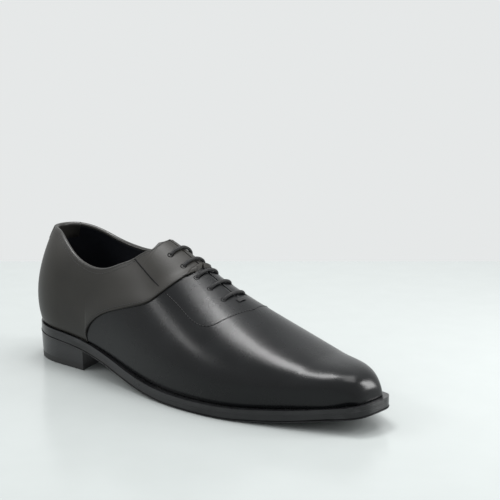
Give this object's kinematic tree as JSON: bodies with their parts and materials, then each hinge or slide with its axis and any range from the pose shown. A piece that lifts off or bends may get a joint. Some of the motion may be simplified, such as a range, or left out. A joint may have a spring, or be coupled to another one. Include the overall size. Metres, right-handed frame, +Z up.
{
  "type": "leather oxford shoe",
  "caption": "Right-foot plain leather oxford shoe with closed lacing, curved quarter seam, chisel toe, leather sole and stacked heel; tongue folds into the shoe.",
  "frame": {"origin": "centre of the footprint, on the ground plane under the heel and the ball", "axes": "+X from heel to toe, +Y to the medial (inner) side of the right foot, +Z up"},
  "size_m": [0.3056, 0.1052, 0.1021],
  "materials": {
    "vamp_leather": "polished",
    "quarter_leather": "satin",
    "binding_leather": "satin",
    "lining_leather": "matte",
    "fibreboard": "matte",
    "insole_leather": "matte",
    "eyelet_metal": "satin",
    "thread": "matte",
    "lace_cord": "waxed",
    "aglet_plastic": "gloss",
    "edge_leather": "burnished",
    "sole_leather": "smooth",
    "cork": "matte",
    "shank_steel": "satin",
    "heel_rubber": "matte",
    "nail_steel": "satin"
  },
  "bodies": {
    "root": {"vamp": "vamp_leather", "quarter_lateral": "quarter_leather", "quarter_medial": "quarter_leather", "topline_binding_lateral": "binding_leather", "topline_binding_medial": "binding_leather", "heel_tab": "binding_leather", "heel_grip": "lining_leather", "quarter_lining_lateral": "lining_leather", "quarter_lining_medial": "lining_leather", "vamp_lining": "lining_leather", "sock_liner": "lining_leather", "heel_counter": "fibreboard", "toe_puff": "fibreboard", "facing_stay_lateral": "fibreboard", "facing_stay_medial": "fibreboard", "insole": "insole_leather", "eyelets": "eyelet_metal", "bar_tack": "thread", "shoelace": "lace_cord", "aglets": "aglet_plastic", "welt": "edge_leather", "heel_rand": "edge_leather", "outsole": "sole_leather", "cork_filler": "cork", "shank": "shank_steel", "heel_lift_1": "edge_leather", "heel_lift_2": "edge_leather", "heel_lift_3": "edge_leather", "top_piece": "heel_rubber", "heel_nails": "nail_steel"},
    "tongue": {"tongue": "quarter_leather", "tongue_lining": "lining_leather"}
  },
  "joints": [
    {"name": "tongue_fold", "type": "hinge", "parent": "root", "child": "tongue", "pos_m": [0.03608, 0.0025, 0.0568], "axis": [0, 1, 0], "range_deg": [-15, 0], "stiffness_Nm_per_rad": 0.05}
  ]
}
